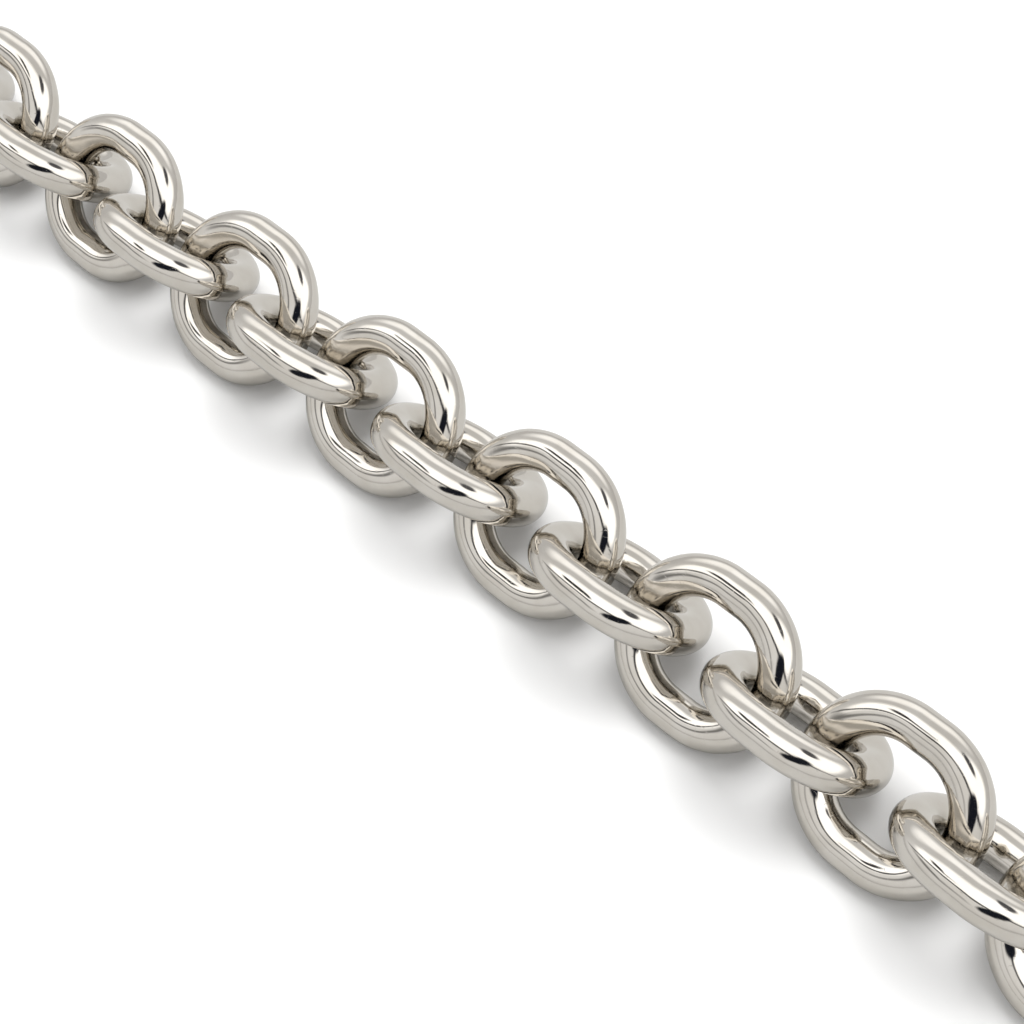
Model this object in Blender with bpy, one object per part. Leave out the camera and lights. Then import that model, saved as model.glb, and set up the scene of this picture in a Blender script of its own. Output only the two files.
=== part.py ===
"""A straight run of short round-wire aluminium chain, lying on a level floor.

Every link is one stadium-shaped ring of round wire. Each is threaded through
the link before it and turned a quarter turn to it, so the links lean 45 degrees
to the left and to the right of the run in turn, and all rest on the floor.
Units are metres, +Z is up and +X runs along the chain.
"""

import math

import bpy
from mathutils import Matrix

# Driving dimensions of the chain

WIRE_DIAMETER = 0.005
LINK_LENGTH = 0.0235
LINK_WIDTH = 0.021
BEARING_PLAY = 0.0005
LINK_COUNT = 23
LINK_TILT = math.radians(45)

# How finely the round wire and its bends are faceted

WIRE_SIDES = 12
BEND_STEPS = 12

# What follows from the driving dimensions

BEND_RADIUS = (LINK_WIDTH - WIRE_DIAMETER) / 2
STRAIGHT_SIDE = LINK_LENGTH - LINK_WIDTH
PITCH = LINK_LENGTH - 2 * WIRE_DIAMETER - BEARING_PLAY
# The flat sides of the faceted wire lie on the round wire, its edges just outside.
EDGE_RADIUS = WIRE_DIAMETER / 2 / math.cos(math.pi / WIRE_SIDES)
LINK_HEIGHT = BEND_RADIUS * math.sin(LINK_TILT) + WIRE_DIAMETER / 2

ALUMINIUM_COLOUR = (0.63, 0.60, 0.55, 1.0)
ALUMINIUM_ROUGHNESS = 0.08


def remove_everything():
    for thing in list(bpy.data.objects):
        bpy.data.objects.remove(thing, do_unlink=True)


def make_collection(name):
    collection = bpy.data.collections.new(name)
    bpy.context.scene.collection.children.link(collection)
    return collection


def make_aluminium(name):
    """Bright polished aluminium, a little warm."""
    material = bpy.data.materials.new(name)
    material.use_nodes = True
    shader = material.node_tree.nodes["Principled BSDF"]
    shader.inputs["Base Color"].default_value = ALUMINIUM_COLOUR
    shader.inputs["Metallic"].default_value = 1.0
    shader.inputs["Roughness"].default_value = ALUMINIUM_ROUGHNESS
    material.diffuse_color = ALUMINIUM_COLOUR
    return material


def link_centreline():
    """Points along the middle of a link's wire, flat in the XY plane."""
    points = []
    for side in (1, -1):
        for step in range(BEND_STEPS + 1):
            angle = math.pi * (step / BEND_STEPS - 0.5)
            along = STRAIGHT_SIDE / 2 + BEND_RADIUS * math.cos(angle)
            across = BEND_RADIUS * math.sin(angle)
            points.append((side * along, side * across, 0.0))
    return points


def make_link_wire(name):
    """The closed wire of one link as a bevelled curve."""
    curve = bpy.data.curves.new(name, "CURVE")
    curve.dimensions = "3D"
    curve.bevel_depth = EDGE_RADIUS
    curve.bevel_resolution = (WIRE_SIDES - 4) // 2
    curve.render_resolution_u = 0
    points = link_centreline()
    spline = curve.splines.new("POLY")
    spline.points.add(len(points) - 1)
    for point, place in zip(spline.points, points):
        point.co = (*place, 1.0)
    spline.use_cyclic_u = True
    spline.use_smooth = True
    return curve


def place_link(link, number):
    """Stand a link in the run, leaning one way or the other in turn."""
    steps_from_middle = (LINK_COUNT + 1) / 2 - number
    lean = -LINK_TILT if number % 2 else LINK_TILT
    link.matrix_world = (
        Matrix.Translation((steps_from_middle * PITCH, 0.0, LINK_HEIGHT))
        @ Matrix.Rotation(lean, 4, "X")
    )


def make_chain():
    """All the links, numbered from the +X end of the run to the other."""
    collection = make_collection("aluminium_chain")
    for number in range(1, LINK_COUNT + 1):
        name = f"link_{number:02d}"
        link = bpy.data.objects.new(name, make_link_wire(name))
        link.data.materials.append(make_aluminium(name))
        collection.objects.link(link)
        place_link(link, number)


remove_everything()
make_chain()
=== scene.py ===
import math

import bpy
from mathutils import Matrix, Vector


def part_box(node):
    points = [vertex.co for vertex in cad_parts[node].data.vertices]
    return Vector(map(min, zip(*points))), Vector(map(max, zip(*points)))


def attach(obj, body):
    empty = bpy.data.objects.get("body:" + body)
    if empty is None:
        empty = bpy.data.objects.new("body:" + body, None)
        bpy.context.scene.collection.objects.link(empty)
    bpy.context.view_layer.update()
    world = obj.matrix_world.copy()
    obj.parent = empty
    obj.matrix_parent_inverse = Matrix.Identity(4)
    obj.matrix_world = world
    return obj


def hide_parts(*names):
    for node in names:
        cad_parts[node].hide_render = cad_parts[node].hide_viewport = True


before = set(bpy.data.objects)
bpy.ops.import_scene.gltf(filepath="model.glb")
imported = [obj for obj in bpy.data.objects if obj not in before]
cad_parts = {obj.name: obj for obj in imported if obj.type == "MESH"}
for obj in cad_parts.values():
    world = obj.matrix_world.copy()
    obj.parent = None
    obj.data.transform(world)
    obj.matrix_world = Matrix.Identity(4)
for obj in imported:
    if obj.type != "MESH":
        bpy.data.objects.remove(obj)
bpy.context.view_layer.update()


# Link wire
# Each link is one length of round aluminium wire, bent into a short ring with two
# half-round ends, closed by a weld that is ground flush, and tumbled until it shines.

WIRE_DIAMETER = 0.005
LINK_LENGTH = 0.0235
LINK_WIDTH = 0.021
LINK_LEAN = math.radians(45)
# Two more than a multiple of four, so that no point lies between the ring's two halves.
STEPS_ALONG_WIRE = 138
STEPS_ROUND_WIRE = 72
# Bending and tumbling leave slow dents, and the drawing die leaves flats and ridges that
# run along the wire.
DENT_DEPTH = 0.00008
DENT_SPACING = 0.0045
RIDGE_DEPTH = 0.00005
RIDGE_FINENESS = 1.9
RIDGE_RUN = 0.75
# A dull grey patch on the inside of each bend, where the neighbour bears, is painted contact
# shade in its darker colour and wear in its roughness. It is whole within a part of its
# reach and fades from there.
SHADE_AND_WEAR_REACH = 0.0026
SHADE_AND_WEAR_CORE = 0.2

METAL_DARKER = (0.605, 0.570, 0.515, 1.0)
METAL_LIGHTER = (0.655, 0.623, 0.574, 1.0)
# The painted contact shade: a darker colour where the neighbours bear.
PAINTED_CONTACT_SHADE = (0.36, 0.335, 0.285, 1.0)
# Roughness of the brightest and the dullest patches, and what lines and marks add to it.
BRIGHT_ROUGHNESS = 0.045
CLOUD_ROUGHNESS = 0.075
DRAW_LINE_DULLING = 0.02
HAIRLINE_DULLING = 0.05
BEARING_DULLING = 0.08
# Fineness is features to a metre, or to a radius round the wire for the draw lines.
DRAW_LINE_FINENESS = 14.0
DRAW_LINE_RUN = 0.16
CLOUD_FINENESS = 300.0
HAIRLINE_FINENESS = 900.0
HAIRLINE_WIDTH = 0.02
HAIRLINE_BREAKS = 1400.0
# Between which values of their noise the patches, the lines and the breaks come in.
CLOUD_COLOUR_RANGE = (0.3, 0.7)
CLOUD_ROUGHNESS_RANGE = (0.35, 0.75)
DRAW_LINE_RANGE = (0.45, 0.75)
HAIRLINE_BREAK_RANGE = (0.52, 0.60)
# The draw lines stand out and the hairline marks are cut in, as shares of the relief.
RELIEF_DEPTH = 0.00002
RELIEF_STRENGTH = 0.35
DRAW_LINE_HEIGHT = 0.5
HAIRLINE_HEIGHT = -0.25


def new_tree(name, kind, inputs, outputs):
    """A node tree with named sockets, each given as (name, socket type)."""
    tree = bpy.data.node_groups.new(name, kind)
    for label, socket_type in inputs:
        tree.interface.new_socket(label, in_out="INPUT", socket_type=socket_type)
    for label, socket_type in outputs:
        tree.interface.new_socket(label, in_out="OUTPUT", socket_type=socket_type)
    return tree


def add_node(tree, kind, settings=None, **inputs):
    """One node. Its inputs are given by name, or by place as i0, i1 and so on."""
    node = tree.nodes.new(kind)
    for key, value in (settings or {}).items():
        setattr(node, key, value)
    for key, value in inputs.items():
        by_place = key[0] == "i" and key[1:].isdigit()
        socket = node.inputs[int(key[1:]) if by_place else key.replace("_", " ")]
        if isinstance(value, bpy.types.NodeSocket):
            tree.links.new(value, socket)
        else:
            socket.default_value = value
    return node


def math_node(tree, operation, *values):
    """The output of a Math node."""
    inputs = {f"i{place}": value for place, value in enumerate(values)}
    return add_node(tree, "ShaderNodeMath", {"operation": operation}, **inputs).outputs[0]


def vector_of(tree, **parts):
    """A vector put together from its X, Y and Z."""
    return add_node(tree, "ShaderNodeCombineXYZ", **parts).outputs[0]


def parts_of(tree, vector):
    """The X, Y and Z of a vector."""
    return add_node(tree, "ShaderNodeSeparateXYZ", Vector=vector).outputs


def length_of(tree, vector):
    """The length of a vector."""
    node = add_node(tree, "ShaderNodeVectorMath", {"operation": "LENGTH"}, i0=vector)
    return node.outputs["Value"]


def ramp(tree, value, start, end, low=0.0, high=1.0, kind="SMOOTHSTEP"):
    """Goes from low to high as the value goes from start to end."""
    node = add_node(
        tree, "ShaderNodeMapRange", {"interpolation_type": kind},
        i0=value, i1=start, i2=end, i3=low, i4=high,
    )
    return node.outputs[0]


def noise(tree, vector, fineness, detail, **fourth):
    """Noise from 0 to 1 over three numbers, or over four where W is given."""
    node = add_node(
        tree, "ShaderNodeTexNoise", {"noise_dimensions": "4D" if fourth else "3D"},
        Vector=vector, Scale=fineness, Detail=detail, **fourth,
    )
    return node.outputs[0]


def noise_along_wire(tree, along_wire, round_wire, run, fineness, detail, seed):
    """Noise drawn out along the wire. It has no seam, as both attributes go round a circle."""
    along, across = parts_of(tree, along_wire), parts_of(tree, round_wire)
    third = math_node(tree, "MULTIPLY", along["X"], run)
    fourth = math_node(tree, "MULTIPLY_ADD", along["Y"], run, seed)
    vector = vector_of(tree, X=across["X"], Y=across["Y"], Z=third)
    return noise(tree, vector, fineness, detail, W=fourth)


def mix_colour(tree, mask, under, over):
    """One colour over another where the mask is 1."""
    node = add_node(tree, "ShaderNodeMix", {"data_type": "RGBA"}, i0=mask, i6=under, i7=over)
    return node.outputs[2]


def store_turn(tree, curve, name):
    """Stores where a point stands on a closed curve as a point of a unit circle, which has no seam."""
    share = add_node(tree, "GeometryNodeSplineParameter").outputs["Factor"]
    angle = math_node(tree, "MULTIPLY", share, 2 * math.pi)
    stored = add_node(
        tree, "GeometryNodeStoreNamedAttribute", {"data_type": "FLOAT_VECTOR", "domain": "POINT"},
        Geometry=curve, Name=name,
        Value=vector_of(tree, X=math_node(tree, "COSINE", angle), Y=math_node(tree, "SINE", angle)),
    )
    return stored.outputs[0]


def make_link_tree():
    """A ring of round wire with half-round ends and straight sides, leaning on its long axis."""
    tree = new_tree(
        "bent wire link", "GeometryNodeTree",
        inputs=[
            ("Geometry", "NodeSocketGeometry"),
            ("Wire Diameter", "NodeSocketFloat"),
            ("Link Length", "NodeSocketFloat"),
            ("Link Width", "NodeSocketFloat"),
            ("Lean", "NodeSocketFloat"),
            ("Middle", "NodeSocketVector"),
            ("Steps Along Wire", "NodeSocketInt"),
            ("Steps Round Wire", "NodeSocketInt"),
            ("Dent Depth", "NodeSocketFloat"),
            ("Dent Spacing", "NodeSocketFloat"),
            ("Ridge Depth", "NodeSocketFloat"),
            ("Ridge Fineness", "NodeSocketFloat"),
            ("Ridge Run", "NodeSocketFloat"),
            ("Shade And Wear Reach", "NodeSocketFloat"),
            ("Shade And Wear Core", "NodeSocketFloat"),
            ("Seed", "NodeSocketFloat"),
            ("Finish", "NodeSocketMaterial"),
        ],
        outputs=[("Geometry", "NodeSocketGeometry")],
    )
    given = tree.nodes.new("NodeGroupInput").outputs
    wire, length, width = given["Wire Diameter"], given["Link Length"], given["Link Width"]
    position = add_node(tree, "GeometryNodeInputPosition").outputs[0]

    # The middle of the wire is a circle whose two halves are moved apart.
    bend_radius = math_node(tree, "DIVIDE", math_node(tree, "SUBTRACT", width, wire), 2.0)
    circle = add_node(
        tree, "GeometryNodeCurvePrimitiveCircle", {"mode": "RADIUS"},
        Resolution=given["Steps Along Wire"], Radius=bend_radius,
    )
    half_side = math_node(tree, "DIVIDE", math_node(tree, "SUBTRACT", length, width), 2.0)
    which_half = math_node(tree, "SIGN", parts_of(tree, position)["X"])
    stadium = add_node(
        tree, "GeometryNodeSetPosition", Geometry=circle.outputs[0],
        Offset=vector_of(tree, X=math_node(tree, "MULTIPLY", which_half, half_side)),
    )
    section = add_node(
        tree, "GeometryNodeCurvePrimitiveCircle", {"mode": "RADIUS"},
        Resolution=given["Steps Round Wire"], Radius=math_node(tree, "DIVIDE", wire, 2.0),
    )
    swept = add_node(
        tree, "GeometryNodeCurveToMesh",
        i0=store_turn(tree, stadium.outputs[0], "along_wire"),
        i1=store_turn(tree, section.outputs[0], "round_wire"),
    )

    # Dents and ridges only take metal off, so the wire stays within its true size.
    moved = add_node(
        tree, "ShaderNodeVectorMath", {"operation": "ADD"},
        i0=position, i1=vector_of(tree, Z=given["Seed"]),
    )
    dents = noise(
        tree, moved.outputs[0], math_node(tree, "DIVIDE", 1.0, given["Dent Spacing"]), detail=1.0
    )
    along_wire, round_wire = (
        add_node(
            tree, "GeometryNodeInputNamedAttribute", {"data_type": "FLOAT_VECTOR"}, Name=name
        ).outputs[0] for name in ("along_wire", "round_wire")
    )
    ridges = noise_along_wire(
        tree, along_wire, round_wire, given["Ridge Run"], given["Ridge Fineness"],
        detail=1.0, seed=given["Seed"],
    )
    depth = math_node(
        tree, "MULTIPLY", math_node(tree, "SUBTRACT", dents, 1.0), given["Dent Depth"]
    )
    depth = math_node(
        tree, "MULTIPLY_ADD", math_node(tree, "SUBTRACT", ridges, 1.0), given["Ridge Depth"], depth
    )
    inward = add_node(
        tree, "ShaderNodeVectorMath", {"operation": "SCALE"},
        i0=add_node(tree, "GeometryNodeInputNormal").outputs[0], Scale=depth,
    )
    worn = add_node(
        tree, "GeometryNodeSetPosition", Geometry=swept.outputs[0], Offset=inward.outputs[0]
    )

    # The neighbours bear on the two ends of the eye: a mask there for painted shade and wear.
    eye_end = math_node(tree, "SUBTRACT", math_node(tree, "DIVIDE", length, 2.0), wire)
    here = parts_of(tree, position)
    past_eye_end = math_node(tree, "SUBTRACT", math_node(tree, "ABSOLUTE", here["X"]), eye_end)
    from_bearing = length_of(tree, vector_of(tree, X=past_eye_end, Y=here["Y"], Z=here["Z"]))
    contact_shade_and_wear = ramp(
        tree, math_node(tree, "DIVIDE", from_bearing, given["Shade And Wear Reach"]),
        given["Shade And Wear Core"], 1.0, low=1.0, high=0.0,
    )
    marked = add_node(
        tree, "GeometryNodeStoreNamedAttribute", {"data_type": "FLOAT", "domain": "POINT"},
        Geometry=worn.outputs[0], Name="contact_shade_and_wear", Value=contact_shade_and_wear,
    )

    turn = add_node(tree, "FunctionNodeEulerToRotation", Euler=vector_of(tree, X=given["Lean"]))
    placed = add_node(
        tree, "GeometryNodeTransform",
        Geometry=marked.outputs[0], Translation=given["Middle"], Rotation=turn.outputs[0],
    )
    smooth = add_node(tree, "GeometryNodeSetShadeSmooth", Geometry=placed.outputs[0])
    real = add_node(tree, "GeometryNodeRealizeInstances", Geometry=smooth.outputs[0])
    finished = add_node(
        tree, "GeometryNodeSetMaterial", Geometry=real.outputs[0], Material=given["Finish"]
    )
    tree.links.new(finished.outputs[0], tree.nodes.new("NodeGroupOutput").inputs[0])
    return tree


def mesh_from_tree(name, tree, values):
    """A plain mesh object, made by a Geometry Nodes tree from these input values."""
    piece = bpy.data.objects.new(name, bpy.data.meshes.new(name))
    bpy.context.scene.collection.objects.link(piece)
    modifier = piece.modifiers.new("nodes", "NODES")
    modifier.node_group = tree
    for item in tree.interface.items_tree:
        if item.item_type == "SOCKET" and item.in_out == "INPUT" and item.name in values:
            modifier[item.identifier] = values[item.name]
    piece.update_tag()
    bpy.context.view_layer.update()
    evaluated = piece.evaluated_get(bpy.context.evaluated_depsgraph_get())
    mesh = bpy.data.meshes.new_from_object(evaluated)
    piece.modifiers.remove(modifier)
    empty = piece.data
    piece.data = mesh
    bpy.data.meshes.remove(empty)
    mesh.name = name
    return piece


def make_bright_aluminium():
    """Tumbled bright aluminium: clear to mirror in, with faint draw lines and hairline marks."""
    material = bpy.data.materials.new("bright aluminium")
    material.use_nodes = True
    tree = material.node_tree
    shader = tree.nodes["Principled BSDF"]
    shader.inputs["Metallic"].default_value = 1.0
    place = add_node(tree, "ShaderNodeTexCoord").outputs["Object"]
    along_wire, round_wire = (
        add_node(tree, "ShaderNodeAttribute", {"attribute_name": name}).outputs["Vector"]
        for name in ("along_wire", "round_wire")
    )
    # The contact mask: painted contact shade in the colour, wear in the roughness.
    contact_shade_and_wear = add_node(tree, "ShaderNodeAttribute", {"attribute_name": "contact_shade_and_wear"}).outputs["Fac"]

    # Draw lines run along the wire, some tenths of a millimetre wide and some millimetres long.
    lines = noise_along_wire(
        tree, along_wire, round_wire, DRAW_LINE_RUN, DRAW_LINE_FINENESS, detail=2.0, seed=0.0
    )
    # Cloudy patches, a few millimetres wide, are a little darker and duller than the rest.
    clouds = noise(tree, place, CLOUD_FINENESS, detail=3.0)
    # Hairline marks from tumbling lie where one noise crosses its middle value, and another
    # noise breaks them into short pieces.
    from_mark = math_node(tree, "SUBTRACT", noise(tree, place, HAIRLINE_FINENESS, detail=0.0), 0.5)
    marks = ramp(tree, math_node(tree, "ABSOLUTE", from_mark), 0.0, HAIRLINE_WIDTH, low=1.0, high=0.0)
    breaks = noise(tree, place, HAIRLINE_BREAKS, detail=1.0)
    marks = math_node(tree, "MULTIPLY", marks, ramp(tree, breaks, *HAIRLINE_BREAK_RANGE))

    lightness = ramp(tree, clouds, *CLOUD_COLOUR_RANGE)
    colour = mix_colour(tree, lightness, METAL_DARKER, METAL_LIGHTER)
    # Painted contact shade: the metal is darkened where the neighbours bear.
    colour = mix_colour(tree, contact_shade_and_wear, colour, PAINTED_CONTACT_SHADE)
    tree.links.new(colour, shader.inputs["Base Color"])

    dullness = ramp(
        tree, clouds, *CLOUD_ROUGHNESS_RANGE, low=CLOUD_ROUGHNESS, high=BRIGHT_ROUGHNESS
    )
    for mask, dulling in (
        (ramp(tree, lines, *DRAW_LINE_RANGE), DRAW_LINE_DULLING),
        (marks, HAIRLINE_DULLING),
        (contact_shade_and_wear, BEARING_DULLING),
    ):
        dullness = math_node(tree, "MULTIPLY_ADD", mask, dulling, dullness)
    tree.links.new(dullness, shader.inputs["Roughness"])

    height = math_node(
        tree, "MULTIPLY_ADD", lines, DRAW_LINE_HEIGHT,
        math_node(tree, "MULTIPLY", marks, HAIRLINE_HEIGHT),
    )
    bump = add_node(
        tree, "ShaderNodeBump", Strength=RELIEF_STRENGTH, Distance=RELIEF_DEPTH, Height=height
    )
    tree.links.new(bump.outputs[0], shader.inputs["Normal"])
    return material


bright_aluminium = make_bright_aluminium()
link_tree = make_link_tree()
for number, node_name in enumerate(sorted(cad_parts), start=1):
    low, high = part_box(node_name)
    link = mesh_from_tree(f"bright_{node_name}", link_tree, {
        "Wire Diameter": WIRE_DIAMETER,
        "Link Length": LINK_LENGTH,
        "Link Width": LINK_WIDTH,
        "Lean": -LINK_LEAN if number % 2 else LINK_LEAN,
        "Middle": (low + high) / 2,
        "Steps Along Wire": STEPS_ALONG_WIRE,
        "Steps Round Wire": STEPS_ROUND_WIRE,
        "Dent Depth": DENT_DEPTH,
        "Dent Spacing": DENT_SPACING,
        "Ridge Depth": RIDGE_DEPTH,
        "Ridge Fineness": RIDGE_FINENESS,
        "Ridge Run": RIDGE_RUN,
        "Shade And Wear Reach": SHADE_AND_WEAR_REACH,
        "Shade And Wear Core": SHADE_AND_WEAR_CORE,
        "Seed": float(number),
        "Finish": bright_aluminium,
    })
    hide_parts(node_name)
    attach(link, node_name)


# Camera
# The view of the photograph: a close view from the front right, looking down and
# along the run, with the camera rolled a little to its right.

CAMERA_PLACE = Vector((0.1355, -0.09067, 0.22001))
CAMERA_AIM = Vector((0.02252, -0.00079, 0.00816))
CAMERA_ROLL = math.radians(8.5)
CAMERA_LENS = 77.34
SENSOR_WIDTH = 36.0

camera_data = bpy.data.cameras.new("camera")
camera = bpy.data.objects.new("camera", camera_data)
bpy.context.scene.collection.objects.link(camera)
camera_data.sensor_width = SENSOR_WIDTH
camera_data.lens = CAMERA_LENS
camera_data.clip_start = 0.01
camera_data.clip_end = 20.0
aimed = (CAMERA_AIM - CAMERA_PLACE).to_track_quat("-Z", "Y").to_matrix().to_4x4()
camera.matrix_world = (
    Matrix.Translation(CAMERA_PLACE) @ aimed @ Matrix.Rotation(-CAMERA_ROLL, 4, "Z")
)
bpy.context.scene.camera = camera
bpy.context.scene.view_settings.view_transform = "Standard"


# Floor
# A sheet of white board that the run lies on, wide enough for every view. The camera sees
# it burnt out to white, while the metal mirrors it as pale grey.

FLOOR_SIZE = 6.0
BOARD_SEEN = (0.85, 0.85, 0.847, 1.0)
BOARD_MIRRORED = (0.57, 0.57, 0.565, 1.0)
BOARD_ROUGHNESS = 0.9
BOARD_GLOSS = 0.1
# Seen from low down, the board fades into the white backdrop between these distances.
BACKDROP = (1.0, 1.0, 1.0, 1.0)
FADE_START = 0.35
FADE_END = 1.1

bpy.ops.mesh.primitive_plane_add(size=FLOOR_SIZE)
floor = bpy.context.object
floor.name = "floor"
white = bpy.data.materials.new("white board")
white.use_nodes = True
board = white.node_tree
board_shader = board.nodes["Principled BSDF"]
board_shader.inputs["Roughness"].default_value = BOARD_ROUGHNESS
board_shader.inputs["Specular IOR Level"].default_value = BOARD_GLOSS
board_shader.inputs["Emission Color"].default_value = BACKDROP
camera_sees_board = add_node(board, "ShaderNodeLightPath").outputs["Is Camera Ray"]
board.links.new(
    mix_colour(board, camera_sees_board, BOARD_MIRRORED, BOARD_SEEN), board_shader.inputs["Base Color"]
)
from_middle = length_of(board, add_node(board, "ShaderNodeTexCoord").outputs["Object"])
board.links.new(
    math_node(board, "MULTIPLY", ramp(board, from_middle, FADE_START, FADE_END), camera_sees_board),
    board_shader.inputs["Emission Strength"],
)
floor.data.materials.append(white)


# Studio
# A pale room round the run, which the bright metal mirrors: grey walls, a long soft box
# overhead, one lit panel behind, one to the right, and dark cards and bars between them.

# Each wall goes from its foot's to its top's brightness up to this Z of the direction.
FAR_WALL_FOOT = 0.68
FAR_WALL_TOP = 0.80
FAR_WALL_RISE = 0.6
NEAR_WALL_FOOT = 0.86
NEAR_WALL_TOP = 1.02
NEAR_WALL_RISE = 0.72
# The near wall is dimmer close above the floor, up to this Z of the direction.
NEAR_WALL_DIP = 0.72
NEAR_WALL_DIP_RISE = 0.16
# The near wall goes over into the far one between these two Ys of the direction.
NEAR_SIDE = -0.35
FAR_SIDE = 0.15
# The room's light on the floor is weaker than what the metal mirrors, by this share.
DIFFUSE_LOSS = 0.25


def make_panel_tree():
    """How much of a flat panel with soft edges a direction meets, from 0 to 1."""
    tree = new_tree(
        "studio panel", "ShaderNodeTree",
        inputs=[
            ("Direction", "NodeSocketVector"),
            ("Facing", "NodeSocketVector"),
            ("Across", "NodeSocketVector"),
            ("Up", "NodeSocketVector"),
            ("Roundness", "NodeSocketFloat"),
            ("Softness", "NodeSocketFloat"),
        ],
        outputs=[("Mask", "NodeSocketFloat")],
    )
    given = tree.nodes.new("NodeGroupInput").outputs

    def along(axis):
        node = add_node(
            tree, "ShaderNodeVectorMath", {"operation": "DOT_PRODUCT"},
            i0=given["Direction"], i1=given[axis],
        )
        return node.outputs["Value"]

    nearly_sideways = 0.01
    depth = along("Facing")
    in_front = math_node(tree, "GREATER_THAN", depth, nearly_sideways)
    safe_depth = math_node(tree, "MAXIMUM", depth, nearly_sideways)
    powers = []
    for axis in ("Across", "Up"):
        share = math_node(tree, "ABSOLUTE", math_node(tree, "DIVIDE", along(axis), safe_depth))
        powers.append(math_node(tree, "POWER", share, given["Roundness"]))
    root = math_node(tree, "DIVIDE", 1.0, given["Roundness"])
    reach = math_node(tree, "POWER", math_node(tree, "ADD", *powers), root)
    half_edge = math_node(tree, "MULTIPLY", given["Softness"], 0.5)
    inside = ramp(
        tree, reach, math_node(tree, "SUBTRACT", 1.0, half_edge),
        math_node(tree, "ADD", 1.0, half_edge), low=1.0, high=0.0,
    )
    mask = math_node(tree, "MULTIPLY", inside, in_front)
    tree.links.new(mask, tree.nodes.new("NodeGroupOutput").inputs[0])
    return tree


def add_panel(tree, ray, under, colour, azimuth, elevation, half_width, half_height,
              turn=0.0, roundness=4.0, softness=0.25):
    """Puts a panel in the room over what is there. Its place and size are in degrees."""
    azimuth, elevation = math.radians(azimuth), math.radians(elevation)
    facing = Vector((
        math.cos(elevation) * math.cos(azimuth),
        math.cos(elevation) * math.sin(azimuth),
        math.sin(elevation),
    ))
    level = Vector((-math.sin(azimuth), math.cos(azimuth), 0.0))
    upright = facing.cross(level)
    turned = Matrix.Rotation(math.radians(turn), 3, facing)
    panel = add_node(
        tree, "ShaderNodeGroup", {"node_tree": panel_tree},
        Direction=ray, Facing=facing,
        Across=turned @ level / math.tan(math.radians(half_width)),
        Up=turned @ upright / math.tan(math.radians(half_height)),
        Roundness=roundness, Softness=softness,
    )
    return mix_colour(tree, panel.outputs["Mask"], under, (*colour, 1.0))


world = bpy.data.worlds.new("studio")
bpy.context.scene.world = world
world.use_nodes = True
room = world.node_tree
background = room.nodes["Background"]
panel_tree = make_panel_tree()
ray = add_node(
    room, "ShaderNodeVectorMath", {"operation": "NORMALIZE"},
    i0=add_node(room, "ShaderNodeTexCoord").outputs["Generated"],
).outputs[0]
ray_parts = parts_of(room, ray)

far_wall = ramp(room, ray_parts["Z"], 0.0, FAR_WALL_RISE, FAR_WALL_FOOT, FAR_WALL_TOP)
near_wall = ramp(
    room, ray_parts["Z"], 0.0, NEAR_WALL_RISE, NEAR_WALL_FOOT, NEAR_WALL_TOP, kind="LINEAR"
)
near_wall = math_node(
    room, "MULTIPLY", near_wall,
    ramp(room, ray_parts["Z"], 0.0, NEAR_WALL_DIP_RISE, NEAR_WALL_DIP, 1.0),
)
nearness = ramp(room, ray_parts["Y"], NEAR_SIDE, FAR_SIDE, low=1.0, high=0.0)
lit = mix_colour(room, nearness, far_wall, near_wall)
# The soft box overhead, long from left to right.
lit = add_panel(
    room, ray, lit, colour=(1.9, 1.9, 1.9), azimuth=-92, elevation=80,
    half_width=58, half_height=22, turn=17, softness=0.75,
)
# The lit panel at the right end of the run.
lit = add_panel(
    room, ray, lit, colour=(1.9, 1.9, 1.9), azimuth=20, elevation=42,
    half_width=28, half_height=20, roundness=3.0, softness=0.7,
)
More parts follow.
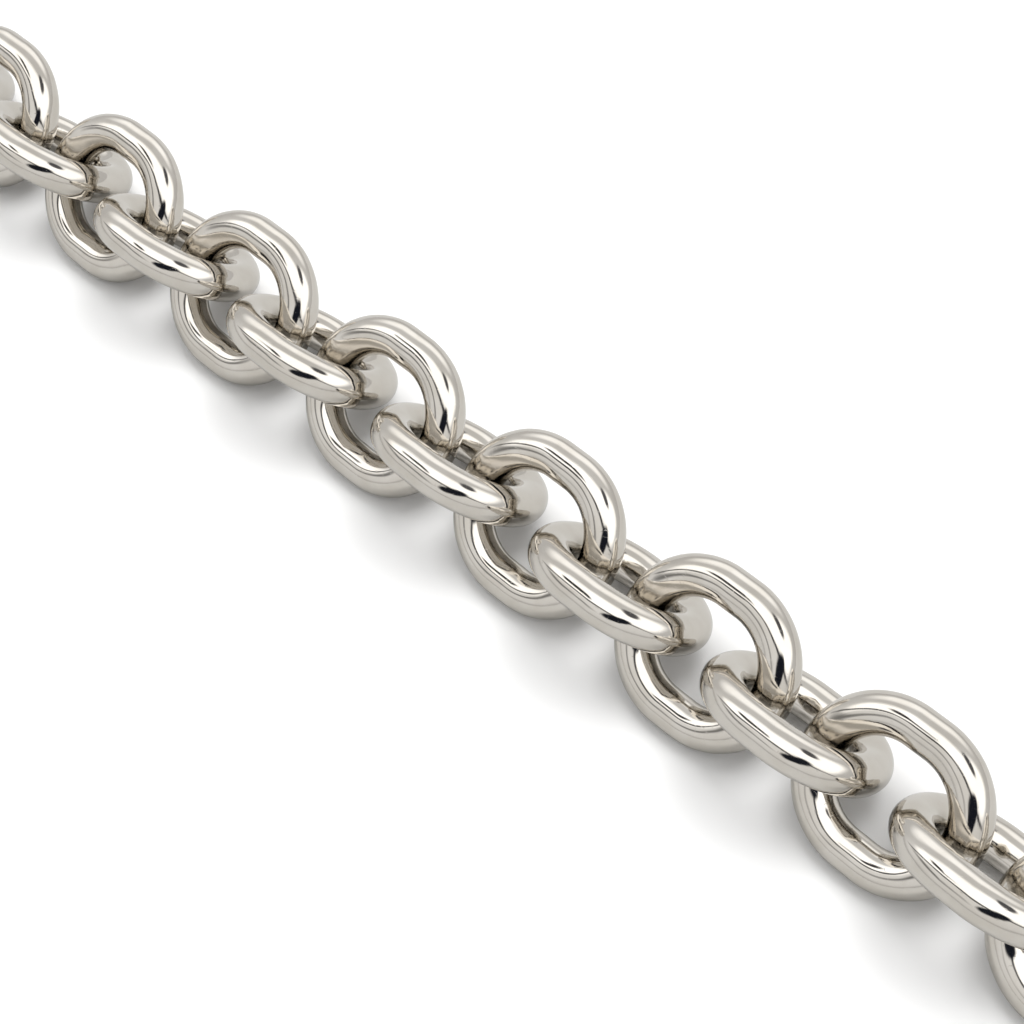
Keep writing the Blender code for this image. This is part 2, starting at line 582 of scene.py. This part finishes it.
# The lit panel behind the run, on the left.
lit = add_panel(
    room, ray, lit, colour=(1.5, 1.5, 1.5), azimuth=118, elevation=31,
    half_width=35, half_height=14, roundness=2.5, softness=1.0,
)
# A dark card high behind the right end.
lit = add_panel(
    room, ray, lit, colour=(0.12, 0.12, 0.13), azimuth=42, elevation=59,
    half_width=11, half_height=9, roundness=2.2, softness=0.6,
)
# A dark bar along the near edge of the soft box.
lit = add_panel(
    room, ray, lit, colour=(0.05, 0.05, 0.055), azimuth=-85, elevation=56.5,
    half_width=72, half_height=3.4, roundness=6.0, softness=1.5,
)
# A grey bar low on the near left.
lit = add_panel(
    room, ray, lit, colour=(0.25, 0.25, 0.25), azimuth=-126, elevation=27,
    half_width=24, half_height=3.2, turn=8, softness=1.6,
)
# A black card just below the camera, on its left.
lit = add_panel(
    room, ray, lit, colour=(0.012, 0.014, 0.022), azimuth=-54, elevation=41.5,
    half_width=25, half_height=11, turn=24, roundness=2.2, softness=0.4,
)
# A small dark card high on the near left.
lit = add_panel(
    room, ray, lit, colour=(0.06, 0.06, 0.065), azimuth=-142, elevation=60,
    half_width=11, half_height=4.6, turn=25, roundness=2.2, softness=0.7,
)
light_path = add_node(room, "ShaderNodeLightPath").outputs
room.links.new(
    mix_colour(room, light_path["Is Camera Ray"], lit, BACKDROP), background.inputs["Color"]
)
room.links.new(
    math_node(room, "MULTIPLY_ADD", light_path["Is Diffuse Ray"], -DIFFUSE_LOSS, 1.0),
    background.inputs["Strength"],
)


# Key light
# A large soft light high behind the run, on the right. It throws the soft shadow towards
# the camera's left, and the metal doesn't mirror it.

KEY_PLACE = Vector((0.12, 0.38, 1.15))
KEY_SIZE = 0.7
KEY_POWER = 11.0

key_data = bpy.data.lights.new("key", "AREA")
key = bpy.data.objects.new("key", key_data)
bpy.context.scene.collection.objects.link(key)
key_data.size = KEY_SIZE
key_data.energy = KEY_POWER
key.matrix_world = Matrix.Translation(KEY_PLACE) @ (
    (-KEY_PLACE).to_track_quat("-Z", "Y").to_matrix().to_4x4()
)
key.visible_glossy = False
key.visible_camera = False
